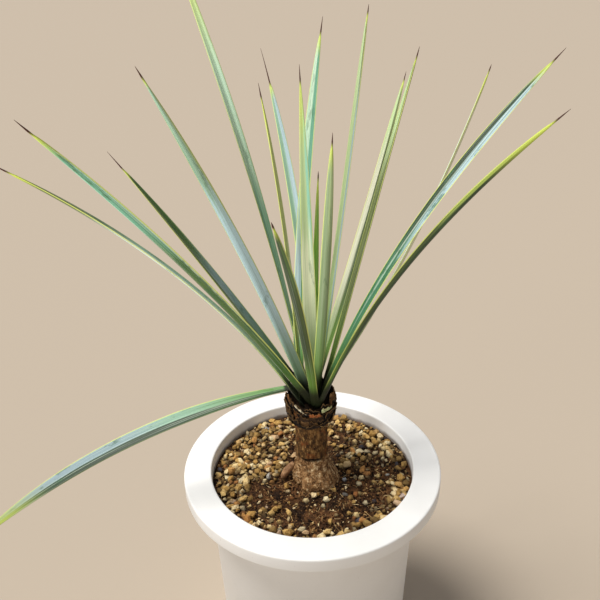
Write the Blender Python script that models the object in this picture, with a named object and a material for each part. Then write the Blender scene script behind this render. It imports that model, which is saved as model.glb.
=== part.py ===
# A young yucca in a round white pot with a wide flat rim.
# Metres, +Z up. The origin is the middle of the pot's underside, +X is to the right of the
# front view and -Y is the front.

import math
import random

import bmesh
import bpy
from mathutils import Matrix, Vector
from mathutils.geometry import delaunay_2d_cdt

# Pot
POT_HEIGHT = 0.160
RIM_RADIUS = 0.090
RIM_PLATE = 0.0032
SKIRT_HEIGHT = 0.010
SKIRT_WALL = 0.0026
OPENING_RADIUS = 0.071
POT_TOP_RADIUS = 0.0737
POT_FOOT_RADIUS = 0.068
POT_WALL = 0.0026
POT_FLOOR = 0.003
EDGE_ROUND = 0.0015
EDGE_MIDDLE = EDGE_ROUND * 0.3
DRAIN_HOLES = 6
DRAIN_RADIUS = 0.005
DRAIN_CIRCLE = 0.042
DRAIN_SIDES = 12
POT_SIDES = 60

# Soil
GAP = 0.0004
SOIL_BELOW_RIM = 0.0105
GRAIN_PITCH = 0.0042
GRAIN_HEIGHT = 0.0026
GRAIN_LOWEST = 0.4
GRAIN_DIP = 0.25
GRAIN_STRAY = 0.0008
GRAIN_MARGIN = 0.6 * GRAIN_PITCH
HOLE_GAP = 0.0009
HOLE_DEPTH = 0.042

# Trunk
TRUNK_SIDES = 40
BARK_FOOT = -0.009
BARK_RIPPLE = 0.0005
SCALE_COUNT = 9
SCALE_RELIEF = 0.0012
SCALE_HEIGHT = 0.052
SCALE_BAND = 0.010
ROOT_ANGLE = math.radians(196)
ROOT_REACH = 0.0080
ROOT_HEIGHT = -0.0040
ROOT_RISE = 0.0085
ROOT_DROP = 0.0030
NECK_RADIUS = 0.0110
FOOT_RADIUS = 0.0204
FLARE_TOP = 0.009
FLARE_LEAST = 0.37
FLARE_LEFT = math.radians(190)
FLARE_LEFT_WINDOW = (0.45, 0.64)
FLARE_BACK = 0.80
FLARE_FRONT = math.radians(300)
FLARE_FRONT_WINDOW = (0.25, 0.75)
SPREAD_ANGLE = math.radians(262)
SPREAD_HEIGHT = -0.0035
SPREAD_REACH = 0.0022
SPREAD_BAND = 0.011
CROWN_RADIUS = 0.016
CROWN_EDGE = 0.0172
CROWN_TOP = 0.0655
CROWN_FALL = 18.0

# Leaf blades
LEAF_CELLS = 16
LEAF_SEAT = 0.0004
BLADE_THICK = 0.0008
CHANNEL_RISE = 0.42
ROOT_WIDTH = 0.80
ROOT_SHARE = 0.15
TAPER_CURVE = 0.8
TIP_WIDTH = 0.0010

# Colours (linear) and roughness
POT_FINISH = ((0.86, 0.85, 0.83), 0.45)
SOIL_FINISH = ((0.16, 0.10, 0.05), 0.95)
TRUNK_FINISH = ((0.23, 0.14, 0.07), 0.85)
LEAF_FINISH = ((0.25, 0.36, 0.22), 0.5)
SHARP_ANGLE = math.radians(40)

# One row a leaf. Angles are in degrees and lengths in mm: where the root stands on the crown
# (angle, distance from the middle), the way the blade heads, its lean from upright at the root
# and at the tip, its length and width, its roll about its own length at root and tip, and how
# late it tapers (2 is early and even, 7 is late and blunt).
LEAVES = {
    "leaf_01": (112, 12.5, 149, 12, 23, 285, 7.4, 35, -55, 4),
    "leaf_02": (278, 13.8, 264, 31, 48, 231, 6.2, -15, -20, 7),
    "leaf_03": (252, 8.5, 228, 21, 30, 244, 7.6, 30, 45, 3),
    "leaf_04": (152, 12.5, 176, 31, 37, 191, 7.8, -20, -25, 3),
    "leaf_05": (250, 12.0, 229, 33, 42, 265, 7.5, 15, 20, 6),
    "leaf_06": (210, 13.0, 204, 29, 54, 235, 8.0, -20, 5, 5),
    "leaf_07": (185, 16.0, 200, 89, 128, 225, 10.0, -20, -45, 4),
    "leaf_08": (88, 7.0, 113, 1, 40, 221, 7.0, -15, -15, 4),
    "leaf_09": (202, 8.0, 151, 2, 11, 197, 5.0, 5, 5, 4),
    "leaf_10": (310, 1.5, 126, 1, 3, 205, 9.5, -40, -40, 2),
    "leaf_11": (150, 8.5, 60, 1, 18, 230, 7.5, 10, 10, 5),
    "leaf_12": (40, 3.5, 58, 3, 3, 144, 5.8, -10, -10, 3),
    "leaf_13": (305, 7.0, 291, 11, 6, 179, 6.5, -10, -10, 5),
    "leaf_14": (50, 9.5, 62, 19, 15, 241, 5.8, -25, -25, 6),
    "leaf_15": (15, 11.0, 30, 17, 17, 220, 8.0, -15, -15, 5),
    "leaf_16": (70, 13.5, 59, 40, 30, 224, 8.0, -10, -10, 5),
    "leaf_17": (34, 15.2, 24, 38, 19, 228, 7.5, -35, -35, 6),
    "leaf_18": (338, 10.5, 349, 20, 40, 250, 7.4, 20, 60, 6),
    "leaf_19": (310, 14.0, 326, 22, 45, 240, 6.8, -5, -40, 6),
}


def clear_scene():
    for obj in list(bpy.data.objects):
        bpy.data.objects.remove(obj, do_unlink=True)


def make_material(name, finish):
    colour, roughness = finish
    material = bpy.data.materials.new(name)
    material.use_nodes = True
    shader = material.node_tree.nodes["Principled BSDF"]
    shader.inputs["Base Color"].default_value = (*colour, 1.0)
    shader.inputs["Roughness"].default_value = roughness
    shader.inputs["Metallic"].default_value = 0.0
    return material


def make_object(name, bm, finish):
    bmesh.ops.triangulate(bm, faces=bm.faces)
    bmesh.ops.recalc_face_normals(bm, faces=bm.faces)
    mesh = bpy.data.meshes.new(name)
    bm.to_mesh(mesh)
    bm.free()
    mesh.materials.append(make_material(name + "_finish", finish))
    mesh.shade_smooth()
    mesh.set_sharp_from_angle(angle=SHARP_ANGLE)
    obj = bpy.data.objects.new(name, mesh)
    bpy.context.scene.collection.objects.link(obj)
    return obj


def spin_profile(profile, sides):
    """Spin (radius, height) points round Z into one closed skin."""
    bm = bmesh.new()
    verts = [bm.verts.new((radius, 0.0, height)) for radius, height in profile]
    edges = [bm.edges.new(pair) for pair in zip(verts, verts[1:])]
    bmesh.ops.spin(bm, geom=verts + edges, cent=(0, 0, 0), axis=(0, 0, 1), dvec=(0, 0, 0),
                   angle=2 * math.pi, steps=sides, use_merge=True)
    bmesh.ops.remove_doubles(bm, verts=bm.verts, dist=1e-6)
    return bm


def pot_inner_radius(height):
    """The wall leans out evenly from the foot to the rim, and is the same thickness all along."""
    foot = POT_FOOT_RADIUS - POT_WALL
    return foot + (OPENING_RADIUS - foot) * height / POT_HEIGHT


def make_pot():
    under_rim = POT_HEIGHT - RIM_PLATE
    skirt_foot = POT_HEIGHT - SKIRT_HEIGHT
    profile = [
        (0.0, 0.0),
        (POT_FOOT_RADIUS - EDGE_ROUND, 0.0),
        (POT_FOOT_RADIUS, EDGE_ROUND),
        (POT_TOP_RADIUS, under_rim),
        (RIM_RADIUS - SKIRT_WALL - EDGE_ROUND, under_rim),
        (RIM_RADIUS - SKIRT_WALL, under_rim - EDGE_ROUND),
        (RIM_RADIUS - SKIRT_WALL, skirt_foot),
        (RIM_RADIUS - EDGE_ROUND / 2, skirt_foot),
        (RIM_RADIUS, skirt_foot + EDGE_ROUND),
        (RIM_RADIUS, POT_HEIGHT - EDGE_ROUND),
        (RIM_RADIUS - EDGE_MIDDLE, POT_HEIGHT - EDGE_MIDDLE),
        (RIM_RADIUS - EDGE_ROUND, POT_HEIGHT),
        (OPENING_RADIUS + EDGE_ROUND, POT_HEIGHT),
        (OPENING_RADIUS + EDGE_MIDDLE, POT_HEIGHT - EDGE_MIDDLE),
        (OPENING_RADIUS, POT_HEIGHT - EDGE_ROUND),
        (pot_inner_radius(POT_FLOOR * 2), POT_FLOOR * 2),
        (pot_inner_radius(POT_FLOOR) - POT_FLOOR, POT_FLOOR),
        (0.0, POT_FLOOR),
    ]
    pot = make_object("pot", spin_profile(profile, POT_SIDES), POT_FINISH)
    for k in range(DRAIN_HOLES):
        cut_drain_hole(pot, 2 * math.pi * (k + 0.5) / DRAIN_HOLES, k + 1)


def cut_drain_hole(pot, angle, number):
    bm = bmesh.new()
    bmesh.ops.create_cone(bm, cap_ends=True, segments=DRAIN_SIDES, radius1=DRAIN_RADIUS,
                          radius2=DRAIN_RADIUS, depth=POT_FLOOR * 4)
    cutter = make_object("drain_cutter_%d" % number, bm, POT_FINISH)
    cutter.location = (DRAIN_CIRCLE * math.cos(angle), DRAIN_CIRCLE * math.sin(angle), 0.0)
    cutter.hide_render = True
    cutter.display_type = "WIRE"
    cut = pot.modifiers.new("drain_%d" % number, "BOOLEAN")
    cut.operation = "DIFFERENCE"
    cut.solver = "EXACT"
    cut.object = cutter


def circle_points(radius, count):
    turns = [2 * math.pi * k / count for k in range(count)]
    return [Vector((radius * math.cos(t), radius * math.sin(t))) for t in turns]


def ease(value, low, high):
    t = min(1.0, max(0.0, (value - low) / (high - low)))
    return t * t * (3 - 2 * t)


def foot_flare(angle):
    """The share of its flare that the trunk's foot shows at an angle: it is cut back on the left."""
    left = ease(math.cos(angle - FLARE_LEFT), *FLARE_LEFT_WINDOW)
    front = ease(math.cos(angle - FLARE_FRONT), *FLARE_FRONT_WINDOW)
    return FLARE_LEAST * left + (FLARE_BACK + (1 - FLARE_BACK) * front) * (1 - left)


def hole_points():
    """The outline of the hole in the soil, which follows the trunk's foot at a small gap."""
    points = []
    for spot in circle_points(1.0, TRUNK_SIDES):
        flare = foot_flare(math.atan2(spot.y, spot.x))
        points.append(spot * (NECK_RADIUS + (FOOT_RADIUS - NECK_RADIUS) * flare + HOLE_GAP))
    return points


def gravel_points(rng, level, inner, outer):
    """A triangular lattice of points, where every third one is the peak of a grain."""
    flat, heights = [], []
    row_step = GRAIN_PITCH * math.sqrt(0.75)
    rows = int(outer / row_step) + 1
    for row in range(-rows, rows + 1):
        for col in range(-rows * 2, rows * 2):
            spot = Vector((GRAIN_PITCH * (col + row / 2), row_step * row))
            stray = Vector((rng.uniform(-1, 1), rng.uniform(-1, 1))) * GRAIN_STRAY
            peak = GRAIN_HEIGHT * rng.uniform(GRAIN_LOWEST, 1.0) if (col - row) % 3 == 0 else 0.0
            dip = GRAIN_HEIGHT * rng.uniform(0.0, GRAIN_DIP)
            if inner + GRAIN_MARGIN < spot.length < outer - GRAIN_MARGIN:
                flat.append(spot + stray)
                heights.append(level + peak - dip)
    return flat, heights


def make_soil():
    """A solid that fills the pot, with grains on top and a plain hole for the trunk."""
    level = POT_HEIGHT - SOIL_BELOW_RIM
    outer = pot_inner_radius(level) - GAP * 2
    widest = FOOT_RADIUS + HOLE_GAP
    grains, grain_heights = gravel_points(random.Random(7), level, widest, outer)
    border = circle_points(outer, POT_SIDES)
    hole = hole_points()
    flat = border + hole + grains
    heights = [level] * (POT_SIDES + TRUNK_SIDES) + grain_heights
    edges = [(k, (k + 1) % POT_SIDES) for k in range(POT_SIDES)]
    edges += [(POT_SIDES + k, POT_SIDES + (k + 1) % TRUNK_SIDES) for k in range(TRUNK_SIDES)]
    faces = delaunay_2d_cdt(flat, edges, [], 0, 1e-7)[2]

    bm = bmesh.new()
    verts = [bm.verts.new((p.x, p.y, z)) for p, z in zip(flat, heights)]
    for face in faces:
        if not all(POT_SIDES <= i < POT_SIDES + TRUNK_SIDES for i in face):
            bm.faces.new([verts[i] for i in face])
    open_edges = [e for e in bm.edges if len(e.link_faces) == 1]
    floor = POT_FLOOR + GAP
    foot_scale = (pot_inner_radius(floor) - POT_FLOOR - GAP * 2) / outer
    outside = [e for e in open_edges if e.verts[0].co.xy.length > widest * 2]
    inside = [e for e in open_edges if e.verts[0].co.xy.length < widest * 2]
    sink_border(bm, outside, floor, foot_scale)
    sink_border(bm, inside, level - HOLE_DEPTH, 1.0)
    make_object("soil", bm, SOIL_FINISH)


def sink_border(bm, edges, height, scale):
    """Draw a border loop down to a height and close it there with a flat face."""
    made = bmesh.ops.extrude_edge_only(bm, edges=edges)["geom"]
    for vert in (g for g in made if isinstance(g, bmesh.types.BMVert)):
        vert.co = Vector((vert.co.x * scale, vert.co.y * scale, height))
    loop = [g for g in made if isinstance(g, bmesh.types.BMEdge) and len(g.link_faces) == 1]
    bmesh.ops.contextual_create(bm, geom=loop)


def crown_height(radius):
    """The crown is a low dome, whose height above the pot's foot falls off with the radius."""
    return POT_HEIGHT + CROWN_TOP - CROWN_FALL * radius * radius


def bark_swell(angle, height):
    """How far the bark stands out: ripples, leaf-base scales by the crown, one side root, and
    a foot that spreads to the front.

    The ripples' and ridges' turns and slants are whole waves round the stem, so they close.
    """
    if height < BARK_FOOT:
        return 0.0
    ripple = math.sin(5 * angle + 260 * height) + 0.6 * math.sin(11 * angle - 410 * height)
    scales = max(0.0, 1.0 - abs(height - SCALE_HEIGHT) / SCALE_BAND)
    ridge = abs(math.sin(SCALE_COUNT * angle / 2 + 90 * height)) - 0.6
    above_root = height - ROOT_HEIGHT
    side_root = max(0.0, 1.0 - abs(above_root) / (ROOT_RISE if above_root > 0 else ROOT_DROP))
    root = ROOT_REACH * side_root * max(0.0, math.cos(angle - ROOT_ANGLE)) ** 30
    spread = max(0.0, 1.0 - abs(height - SPREAD_HEIGHT) / SPREAD_BAND)
    spread *= SPREAD_REACH * max(0.0, math.cos(angle - SPREAD_ANGLE))
    return BARK_RIPPLE * ripple + SCALE_RELIEF * scales * ridge + root + spread


def make_trunk():
    """The stem from its foot in the soil up to the crown; heights count from the pot's rim."""
    foot = -SOIL_BELOW_RIM - HOLE_DEPTH + GAP
    profile = [
        (0.0, foot),
        (0.0190, foot),
        (0.0202, foot + 0.004),
        (FOOT_RADIUS, -0.024),
        (FOOT_RADIUS, -0.0112),
        (0.0190, -0.0086),
        (0.0178, -0.0068),
        (0.0161, ROOT_HEIGHT),
        (0.0143, -0.0012),
        (0.0122, 0.003),
        (0.0114, 0.0075),
        (NECK_RADIUS, 0.0118),
        (0.0109, 0.016),
        (0.0111, 0.020),
        (0.0109, 0.026),
        (0.0112, 0.031),
        (0.0122, 0.036),
        (0.0148, 0.0405),
        (0.0156, 0.045),
        (0.0150, 0.049),
        (0.0158, 0.052),
        (0.0162, 0.0555),
        (CROWN_RADIUS, 0.0592),
    ]
    profile += [(r, crown_height(r) - POT_HEIGHT) for r in (0.0155, 0.0125, 0.009, 0.0045, 0.0)]
    bm = spin_profile([(r, POT_HEIGHT + z) for r, z in profile], TRUNK_SIDES)
    for vert in bm.verts:
        radius = vert.co.xy.length
        if radius > 0.010 and vert.co.z < crown_height(CROWN_RADIUS):
            angle = math.atan2(vert.co.y, vert.co.x)
            height = vert.co.z - POT_HEIGHT
            bark = radius + bark_swell(angle, height)
            if height < FLARE_TOP:
                bark -= (radius - NECK_RADIUS) * (1 - foot_flare(angle))
            vert.co.xy *= bark / radius
    make_object("trunk", bm, TRUNK_FINISH)


def heading(azimuth, lean):
    """The unit vector that leans by so much from upright towards the azimuth."""
    flat = Vector((math.cos(azimuth), math.sin(azimuth), 0.0))
    return flat * math.sin(lean) + Vector((0.0, 0.0, math.cos(lean)))


def blade_half_width(share, width, power):
    """A little narrow at the root, widest past it, and drawn in to a spine at the tip."""
    taper = (1.0 - share ** power) ** TAPER_CURVE
    root = ROOT_WIDTH + (1.0 - ROOT_WIDTH) * min(1.0, share / ROOT_SHARE)
    return max(TIP_WIDTH, width * taper * root) / 2


def make_leaf(name, row):
    root_angle, root_mm, azimuth, lean, lean_tip, length, width, roll, roll_tip, power = row
    root_radius, length, width = root_mm / 1000, length / 1000, width / 1000
    root_angle, azimuth = math.radians(root_angle), math.radians(azimuth)
    across = Vector((-math.sin(azimuth), math.cos(azimuth), 0.0))

    bm = bmesh.new()
    bmesh.ops.create_grid(bm, x_segments=LEAF_CELLS, y_segments=2, size=1.0)
    stations = {}
    for vert in bm.verts:
        stations.setdefault(round((vert.co.x + 1) / 2 * LEAF_CELLS), []).append(vert)

    point = Vector((root_radius * math.cos(root_angle), root_radius * math.sin(root_angle),
                    crown_height(root_radius)))
    for i in range(LEAF_CELLS + 1):
        share = i / LEAF_CELLS
        ahead = heading(azimuth, math.radians(lean + (lean_tip - lean) * share))
        turn = Matrix.Rotation(math.radians(roll + (roll_tip - roll) * share), 3, ahead)
        side = turn @ across
        face = ahead.cross(side)
        half = blade_half_width(share, width, power)
        for vert in stations[i]:
            place = vert.co.y
            vert.co = point + side * half * place + face * half * CHANNEL_RISE * abs(place)
        point = point + ahead * (length / LEAF_CELLS)
    bmesh.ops.triangulate(bm, faces=bm.faces, quad_method="FIXED")
    bmesh.ops.recalc_face_normals(bm, faces=bm.faces)
    bmesh.ops.solidify(bm, geom=bm.faces[:], thickness=BLADE_THICK)
    lift = max((crown_height(min(v.co.xy.length, CROWN_RADIUS)) + LEAF_SEAT - v.co.z
                for v in bm.verts if v.co.xy.length < CROWN_EDGE), default=0.0)
    bmesh.ops.translate(bm, verts=bm.verts, vec=(0.0, 0.0, lift))
    make_object(name, bm, LEAF_FINISH)


def main():
    clear_scene()
    make_pot()
    make_soil()
    make_trunk()
    for name, row in LEAVES.items():
        make_leaf(name, row)


main()
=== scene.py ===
import random
from math import atan2, cos, exp, hypot, pi, radians, sin, sqrt, tau

import bmesh
import bpy
from mathutils import Matrix, Vector, noise


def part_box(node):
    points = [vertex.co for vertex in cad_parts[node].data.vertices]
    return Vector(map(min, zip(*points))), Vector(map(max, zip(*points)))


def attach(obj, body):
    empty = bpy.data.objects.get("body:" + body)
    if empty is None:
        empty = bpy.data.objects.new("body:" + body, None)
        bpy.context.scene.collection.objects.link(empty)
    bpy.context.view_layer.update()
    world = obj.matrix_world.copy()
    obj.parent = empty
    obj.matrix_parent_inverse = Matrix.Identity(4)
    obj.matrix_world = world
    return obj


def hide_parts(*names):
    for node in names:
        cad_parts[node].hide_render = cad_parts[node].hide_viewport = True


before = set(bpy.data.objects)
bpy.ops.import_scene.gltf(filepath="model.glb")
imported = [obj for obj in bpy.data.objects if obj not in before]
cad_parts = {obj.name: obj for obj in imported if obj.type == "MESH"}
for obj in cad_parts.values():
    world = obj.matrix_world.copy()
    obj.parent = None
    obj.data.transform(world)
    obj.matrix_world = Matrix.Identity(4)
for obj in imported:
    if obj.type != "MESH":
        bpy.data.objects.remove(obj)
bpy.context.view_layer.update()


# The pot is one moulding of white matte plastic: a wide flat rim with a short skirt round its
# edge, a wall that tapers to the foot, and a floor with a ring of drain holes. Its edges are
# softly rounded by the mould, and a little compost dust clings to the wall above the soil.
POT_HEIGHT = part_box("pot")[1].z
RIM_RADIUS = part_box("pot")[1].x
RIM_PLATE = 0.0032
SKIRT_HEIGHT = 0.010
PLASTIC_WALL = 0.0026
OPENING_RADIUS = 0.071
POT_TOP_RADIUS = 0.0737
POT_FOOT_RADIUS = 0.068
POT_FLOOR = 0.003
EDGE_ROUND = 0.0015
DRAIN_HOLES = 6
DRAIN_RADIUS = 0.005
DRAIN_CIRCLE = 0.042
DUST_LINE = POT_HEIGHT - 0.0088
POT_SIDES = 180


def srgb(red, green, blue):
    """A colour as a painter reads it off a chart, 0 to 255, turned to the shader's own scale."""
    return tuple(v / 255 / 12.92 if v <= 10 else ((v / 255 + 0.055) / 1.055) ** 2.4
                 for v in (red, green, blue)) + (1.0,)


class Thread:
    """One value in a material. Sums and products of threads add the Math nodes for them."""

    def __init__(self, finish, socket):
        self.finish = finish
        self.socket = socket

    def math(self, operation, first, second=0.0):
        return self.finish.node("ShaderNodeMath", {"operation": operation}, {0: first, 1: second})

    def __add__(self, other):
        return self.math("ADD", self, other)

    def __sub__(self, other):
        return self.math("SUBTRACT", self, other)

    def __rsub__(self, other):
        return self.math("SUBTRACT", other, self)

    def __mul__(self, other):
        return self.math("MULTIPLY", self, other)

    __radd__ = __add__
    __rmul__ = __mul__

    def size(self):
        return self.math("ABSOLUTE", self)

    def step(self, low, high):
        """0 below low, 1 above high, and smooth between them; low may be the greater one."""
        span = self.finish.node("ShaderNodeMapRange", {"interpolation_type": "SMOOTHSTEP"},
                                {"Value": self, "From Min": min(low, high), "From Max": max(low, high)})
        return span if low < high else 1 - span


class Finish:
    """A material in the making: its nodes, and the Principled shader that they feed."""

    def __init__(self, name):
        self.material = bpy.data.materials.new(name)
        self.material.use_nodes = True
        self.tree = self.material.node_tree
        self.shader = self.tree.nodes["Principled BSDF"]

    def feed(self, node, values):
        for key, value in values.items():
            if isinstance(value, Thread):
                self.tree.links.new(value.socket, node.inputs[key])
            else:
                node.inputs[key].default_value = value

    def node(self, kind, settings=None, sockets=None, output=0):
        """A node of that kind, its settings first and then its sockets' values or links."""
        made = self.tree.nodes.new(kind)
        for key, value in (settings or {}).items():
            if key == "stops":
                self.set_stops(made.color_ramp, value)
            else:
                setattr(made, key, value)
        self.feed(made, sockets or {})
        return Thread(self, made.outputs[output])

    def set_stops(self, ramp, stops):
        while len(ramp.elements) < len(stops):
            ramp.elements.new(1.0)
        for element, (place, *tint) in zip(ramp.elements, stops):
            element.position = place
            element.color = srgb(*tint)

    def place(self):
        return self.node("ShaderNodeTexCoord", output="Object")

    def height(self):
        return self.node("ShaderNodeSeparateXYZ", {}, {0: self.place()}, output="Z")

    def drawn_out(self, share):
        """The place with its height cut to a share, which draws a pattern out upwards."""
        return self.node("ShaderNodeMapping", {}, {"Vector": self.place(), "Scale": (1.0, 1.0, share)})

    def attribute(self, name):
        return self.node("ShaderNodeAttribute", {"attribute_name": name}, output="Fac")

    def vector(self, x, y, z):
        return self.node("ShaderNodeCombineXYZ", {}, {0: x, 1: y, 2: z})

    def noise(self, scale, detail=3.0, roughness=0.55, place=None):
        return self.node("ShaderNodeTexNoise", {}, {
            "Vector": place or self.place(), "Scale": scale, "Detail": detail, "Roughness": roughness})

    def blend(self, share, first, second):
        """The first colour where share is 0, and the second where it is 1."""
        return self.node("ShaderNodeMix", {"data_type": "RGBA", "clamp_factor": True},
                         {0: share, 6: first, 7: second}, output=2)

    def layered(self, colour, *layers):
        """The colour with each (share, red, green, blue) laid over it in turn."""
        for share, *tint in layers:
            colour = self.blend(share, colour, srgb(*tint))
        return colour

    def ramp(self, value, *stops):
        """The colour at a value, from (value, red, green, blue) stops."""
        return self.node("ShaderNodeValToRGB", {"stops": stops}, {"Fac": value})

    def done(self, colour, roughness, specular, relief=None, depth=0.0, strength=1.0):
        """The finished material, its relief so many metres deep."""
        values = {"Base Color": colour, "Roughness": roughness, "Specular IOR Level": specular}
        if relief:
            values["Normal"] = self.node("ShaderNodeBump", {}, {
                "Height": relief, "Distance": depth, "Strength": strength})
        self.feed(self.shader, values)
        return self.material


def as_mesh(name, bm):
    mesh = bpy.data.meshes.new(name)
    bm.to_mesh(mesh)
    bm.free()
    return mesh


def smooth(mesh, sharp):
    mesh.shade_smooth()
    mesh.set_sharp_from_angle(angle=radians(sharp))


def set_out(name, data):
    """An object of that name for a mesh, a lamp or a camera."""
    made = bpy.data.objects.new(name, data)
    bpy.context.scene.collection.objects.link(made)
    return made


def make_piece(name, bm, material, slot, *nodes, sharp=40):
    """Close a mesh as a piece of the plant that stands for the given nodes."""
    bmesh.ops.recalc_face_normals(bm, faces=bm.faces)
    mesh = as_mesh(name, bm)
    smooth(mesh, sharp)
    mesh.materials.append(material)
    piece = set_out(name, mesh)
    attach(piece, "root")
    if nodes:
        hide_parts(*nodes)
    return piece


def polar(radius, turn, height):
    """The point at a radius and a turn about the Z axis, and at a height."""
    return Vector((radius * cos(turn), radius * sin(turn), height))


def rounded(corners, steps=6):
    """The outline through (radius, height, rounding) corners, each turned in a smooth bend."""
    outline = []
    for k, (radius, height, rounding) in enumerate(corners):
        here = polar(radius, 0, height)
        if not rounding:
            outline.append(here)
            continue
        before = polar(corners[k - 1][0], 0, corners[k - 1][1]) - here
        after = polar(corners[k + 1][0], 0, corners[k + 1][1]) - here
        start = here + before.normalized() * rounding
        end = here + after.normalized() * rounding
        for s in range(steps + 1):
            t = s / steps
            outline.append(start.lerp(here, t).lerp(here.lerp(end, t), t))
    return outline


def spin_outline(outline, sides):
    """Turn an outline that starts and ends on the Z axis into one closed skin."""
    bm = bmesh.new()
    verts = [bm.verts.new(point) for point in outline]
    edges = [bm.edges.new(pair) for pair in zip(verts, verts[1:])]
    bmesh.ops.spin(bm, geom=verts + edges, cent=(0, 0, 0), axis=(0, 0, 1), dvec=(0, 0, 0),
                   angle=tau, steps=sides, use_merge=True)
    bmesh.ops.remove_doubles(bm, verts=bm.verts, dist=1e-6)
    return bm


def pot_inner_radius(height):
    foot = POT_FOOT_RADIUS - PLASTIC_WALL
    return foot + (OPENING_RADIUS - foot) * height / POT_HEIGHT


def plastic_finish():
    """White plastic with a faint cloudiness and specks, dusty inside just above the soil."""
    skin = Finish("white_plastic")
    clouds = skin.noise(38.0, 4.0)
    specks = skin.noise(900.0, 1.0).step(0.72, 0.80)
    dust = ((skin.height() - DUST_LINE) * 320 + skin.noise(160.0) * 1.2).step(1.3, 0.2)
    flat = skin.node("ShaderNodeVectorMath", {"operation": "MULTIPLY"},
                     {0: skin.place(), 1: (1.0, 1.0, 0.0)})
    reach = skin.node("ShaderNodeVectorMath", {"operation": "LENGTH"}, {0: flat}, output="Value")
    inside = reach.step(OPENING_RADIUS + 0.0006, OPENING_RADIUS + 0.0002)
    inside = inside * (skin.height() - POT_HEIGHT).step(-0.016, -0.014)
    colour = skin.layered(
        skin.blend(clouds, srgb(238, 236, 231), srgb(247, 246, 243)),
        (specks * 0.35, 176, 170, 160), (dust * inside * 0.7, 128, 104, 80))
    return skin.done(colour, 0.36 + clouds * 0.12, 0.45, skin.noise(700.0, 2.0), 0.0001, 0.35)


under_rim = POT_HEIGHT - RIM_PLATE
skirt_foot = POT_HEIGHT - SKIRT_HEIGHT
bm = spin_outline(rounded([
    (0.0, 0.0, 0),
    (POT_FOOT_RADIUS, 0.0, 0.0022),
    (POT_TOP_RADIUS, under_rim, 0.0012),
    (RIM_RADIUS - PLASTIC_WALL, under_rim, 0.0014),
    (RIM_RADIUS - PLASTIC_WALL, skirt_foot, 0.0007),
    (RIM_RADIUS, skirt_foot, 0.0009),
    (RIM_RADIUS, POT_HEIGHT, EDGE_ROUND),
    (OPENING_RADIUS, POT_HEIGHT, EDGE_ROUND),
    (pot_inner_radius(POT_FLOOR), POT_FLOOR, 0.003),
    (0.0, POT_FLOOR, 0),
]), POT_SIDES)
pot = make_piece("white_pot", bm, plastic_finish(), "pot", "pot")
drills = bmesh.new()
for k in range(DRAIN_HOLES):
    spot = polar(DRAIN_CIRCLE, tau * (k + 0.5) / DRAIN_HOLES, 0.0)
    bmesh.ops.create_cone(drills, cap_ends=True, segments=32, radius1=DRAIN_RADIUS,
                          radius2=DRAIN_RADIUS, depth=POT_FLOOR * 4,
                          matrix=Matrix.Translation(spot))
drill = set_out("drills", as_mesh("drills", drills))
cut = pot.modifiers.new("drain", "BOOLEAN")
cut.operation = "DIFFERENCE"
cut.solver = "EXACT"
cut.object = drill
evaluated = pot.evaluated_get(bpy.context.evaluated_depsgraph_get())
drilled = bpy.data.meshes.new_from_object(evaluated)
pot.modifiers.clear()
pot.data = drilled
smooth(drilled, 40)
bpy.data.objects.remove(drill)


# The soil is dark fibrous compost that fills the pot to a finger's width below the rim. The hole
# that the trunk stands in follows the trunk's foot, which is cut back on the left.
SOIL_LEVEL = POT_HEIGHT - 0.0105
SOIL_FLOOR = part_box("soil")[0].z
SOIL_RADIUS = pot_inner_radius(SOIL_LEVEL) - 0.0002
NECK_RADIUS = 0.0110
FOOT_RADIUS = 0.0204
FLARE_LEAST = 0.37
FLARE_LEFT = radians(190)
FLARE_BACK = 0.80
FLARE_FRONT = radians(300)
HOLE_GAP = 0.0003
HOLE_DEPTH = 0.042
FOOT_CLEARANCE = 0.004
SOIL_RINGS = 60
SOIL_SIDES = 260


def ease(value, low, high):
    """0 below low, 1 above high, and smooth between them."""
    t = min(1.0, max(0.0, (value - low) / (high - low)))
    return t * t * (3 - 2 * t)


def wave(x, y, z):
    """Smooth noise at a place, between about -1 and 1."""
    return noise.noise(Vector((x, y, z)))


def foot_flare(angle):
    """The share of its flare that the trunk's foot shows at an angle, least on the left."""
    left = ease(cos(angle - FLARE_LEFT), 0.45, 0.64)
    front = ease(cos(angle - FLARE_FRONT), 0.25, 0.75)
    return FLARE_LEAST * left + (FLARE_BACK + (1 - FLARE_BACK) * front) * (1 - left)


def hole_radius(angle):
    return NECK_RADIUS + (FOOT_RADIUS - NECK_RADIUS) * foot_flare(angle) + HOLE_GAP


def ground_height(x, y):
    """The compost's own lie: low swells, finer lumps, and crumbs."""
    place = Vector((x, y, 0.0))
    swell = 0.0009 * noise.noise(place * 45)
    lumps = 0.0007 * noise.noise(place * 190) + 0.0005 * noise.noise(place * 620)
    return SOIL_LEVEL + swell + lumps


def compost_finish():
    """Damp peat brown, with darker hollows, ginger fibres and pale flecks."""
    skin = Finish("compost")
    colour = skin.ramp(skin.noise(90.0, 6.0, 0.7), (0.34, 14, 9, 6), (0.46, 48, 31, 19),
                       (0.55, 88, 58, 34), (0.68, 132, 90, 54))
    flecks = skin.noise(1500.0, 1.0).step(0.66, 0.74)
    colour = skin.layered(colour, (flecks * 0.7, 176, 134, 88))
    return skin.done(colour, 0.93, 0.2, skin.noise(1100.0, 4.0, 0.7), 0.0008)


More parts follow.
